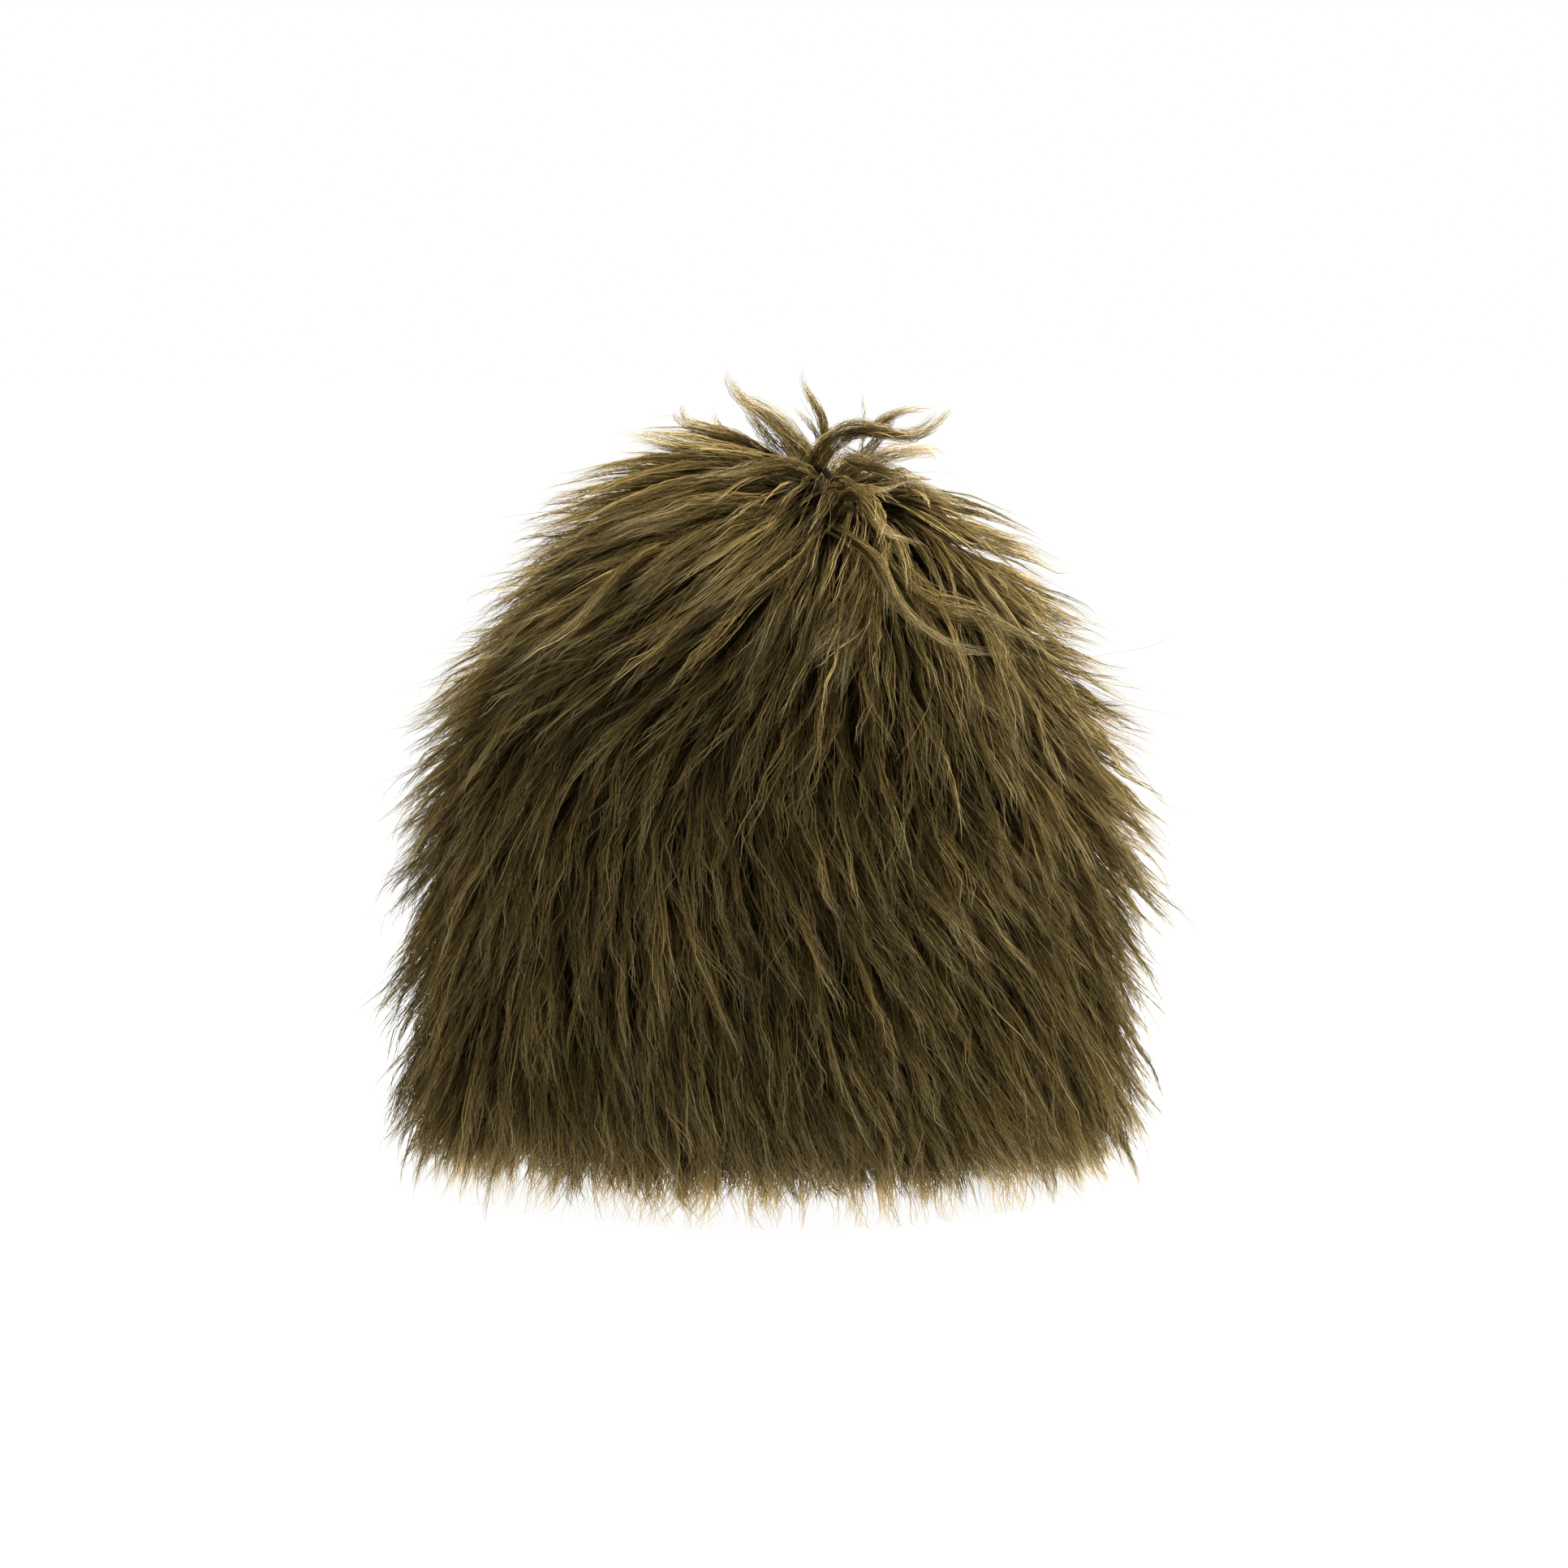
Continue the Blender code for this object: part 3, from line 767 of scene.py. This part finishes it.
def add_strands(hair):
    """The main fur, in one piece for each zone."""
    locks = make_locks(*make_tufts())
    paths, mine, along, roots = make_strands(*locks)
    lock_tone = RANDOM.uniform(0.55, 1.50, LOCKS)
    strand_tone = np.minimum(np.exp(RANDOM.normal(-0.06, 0.62, len(paths))), 2)
    tone = np.column_stack([lock_tone[mine], strand_tone])
    half = HAIR_HALF_WIDTH * RANDOM.uniform(0.7, 1.25, len(paths))
    guard = RANDOM.uniform(0, 1, len(paths)) < GUARD_SHARE
    tone[guard, 1] = RANDOM.uniform(1.4, 2.0, np.sum(guard))
    half[guard] *= 1.35
    for name, chosen in zones(roots).items():
        piece = ribbon_mesh(name, paths[chosen], along[chosen], tone[chosen], half[chosen])
        as_fur(piece, hair)


def add_small_hair(hair):
    """Loose hairs, the fringe and the whorl's fuzz."""
    for name, make, tones, along_ends, width in (
            ("fur_flyaways", make_flyaways, (0.85, 1.5), (0, 1), 0.5),
            # painted light: the fringe takes the pale end of the hair's colours and raised tones,
            # for the light it catches from the floor and through it
            ("fur_fringe", make_fringe, (1.1, 1.65), (0.7, 1), 0.9),
            # partly painted shade: the whorl's fuzz keeps near its dark root colours and has
            # lowered tones, for the shade in the hollow at the whorl
            ("fur_whorl", make_whorl, (0.3, 0.7), (0.1, 0.6), 0.8)):
        paths = make()
        n, m, _ = paths.shape
        tone = RANDOM.uniform(*tones, (n, 2))
        along = np.tile(np.linspace(*along_ends, m), (n, 1))
        half = np.full(n, HAIR_HALF_WIDTH * width)
        as_fur(ribbon_mesh(name, paths, along, tone, half), hair)


def add_crown_locks(hair):
    """The locks that stand at the whorl, and those that lie over the front."""
    # painted light: the standing locks start further towards the pale tip colour than the lying
    # ones, for light shining through them
    for name, locks, root_shade in (("fur_standing_locks", STANDING_LOCKS, 0.60),
                                    ("fur_lying_locks", LYING_LOCKS, 0.38)):
        paths, tone, along = make_bundles(locks, root_shade)
        half = HAIR_HALF_WIDTH * RANDOM.uniform(0.40, 0.85, len(paths))
        as_fur(ribbon_mesh(name, paths, along, tone, half), hair)


def make_fur():
    """Every piece of hair, and the underfur."""
    hair = hair_material()
    add_strands(hair)
    add_small_hair(hair)
    add_crown_locks(hair)
    as_fur(underfur(), underfur_material())


def make_stage():
    """White floor."""
    bpy.ops.mesh.primitive_plane_add(size=120, location=(0, 0, 0))
    floor = bpy.context.object
    floor.name = "floor"
    mat, _, _ = new_material("floor_white", {
        "Base Color": (FLOOR_BOUNCE, FLOOR_BOUNCE, FLOOR_BOUNCE, 1),
        "Emission Color": (1, 1, 1, 1), "Emission Strength": FLOOR_GLOW,
        "Roughness": 0.9, "Specular IOR Level": 0.1})
    floor.data.materials.append(mat)


def area_light(name, place, size, power):
    """A round soft light that looks at the middle of the hat."""
    data = bpy.data.lights.new(name, "AREA")
    data.shape = "DISK"
    data.size = size
    data.energy = power
    made = bpy.data.objects.new(name, data)
    made.location = place
    way = Vector((0, 0, MIDDLE_Z)) - Vector(place)
    made.rotation_euler = way.to_track_quat("-Z", "Y").to_euler()
    bpy.context.scene.collection.objects.link(made)


def make_world():
    """Pale studio: bright above and behind, dim in front, and plain white to the camera."""
    world = bpy.data.worlds.new("studio")
    bpy.context.scene.world = world
    world.use_nodes = True
    tree = world.node_tree
    back = tree.nodes["Background"]
    back.inputs["Color"].default_value = (1, 1, 1, 1)
    way = node(tree, "ShaderNodeTexCoord")
    parts = node(tree, "ShaderNodeSeparateXYZ")
    tree.links.new(way.outputs["Generated"], parts.inputs[0])
    behind = node(tree, "ShaderNodeMapRange", {"From Min": -0.6, "From Max": 0.7,
                                               "To Min": SKY_FRONT, "To Max": SKY_BACK})
    tree.links.new(parts.outputs["Y"], behind.inputs["Value"])
    above = node(tree, "ShaderNodeMath", {1: SKY_TOP}, operation="MULTIPLY_ADD")
    tree.links.new(parts.outputs["Z"], above.inputs[0])
    tree.links.new(behind.outputs["Result"], above.inputs[2])
    path = node(tree, "ShaderNodeLightPath")
    strength = node(tree, "ShaderNodeMix", {"B": 1.0}, data_type="FLOAT")
    tree.links.new(path.outputs["Is Camera Ray"], strength.inputs["Factor"])
    tree.links.new(above.outputs[0], strength.inputs["A"])
    tree.links.new(strength.outputs["Result"], back.inputs["Strength"])


def make_lights():
    """The three lights, and a plain view transform."""
    for light in LIGHTS:
        area_light(**light)
    bpy.context.scene.view_settings.view_transform = "Standard"


def make_camera():
    """The photograph's frame, from its viewing angle."""
    data = bpy.data.cameras.new("camera")
    camera = bpy.data.objects.new("camera", data)
    bpy.context.scene.collection.objects.link(camera)
    half = PHOTO_SIDE / 2
    across = (half - MIDDLE_COLUMN) * METRES_PER_PIXEL
    up = (FLOOR_ROW - half) * METRES_PER_PIXEL / math.cos(CAMERA_ELEVATION)
    target = Vector((across, 0, up))
    back = Vector((0, -math.cos(CAMERA_ELEVATION), math.sin(CAMERA_ELEVATION)))
    camera.location = target + back * CAMERA_DISTANCE
    camera.rotation_euler = (-back).to_track_quat("-Z", "Y").to_euler()
    data.sensor_width = SENSOR_MM
    data.lens = SENSOR_MM * CAMERA_DISTANCE / (PHOTO_SIDE * METRES_PER_PIXEL)
    data.clip_end = 200
    bpy.context.scene.camera = camera


def dress_backing():
    """Knit on the CAD backing."""
    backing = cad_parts["crown_backing"]
    backing.data.materials.clear()
    backing.data.materials.append(knit_material())


make_camera()
make_world()
make_lights()
make_stage()
dress_backing()
make_fur()
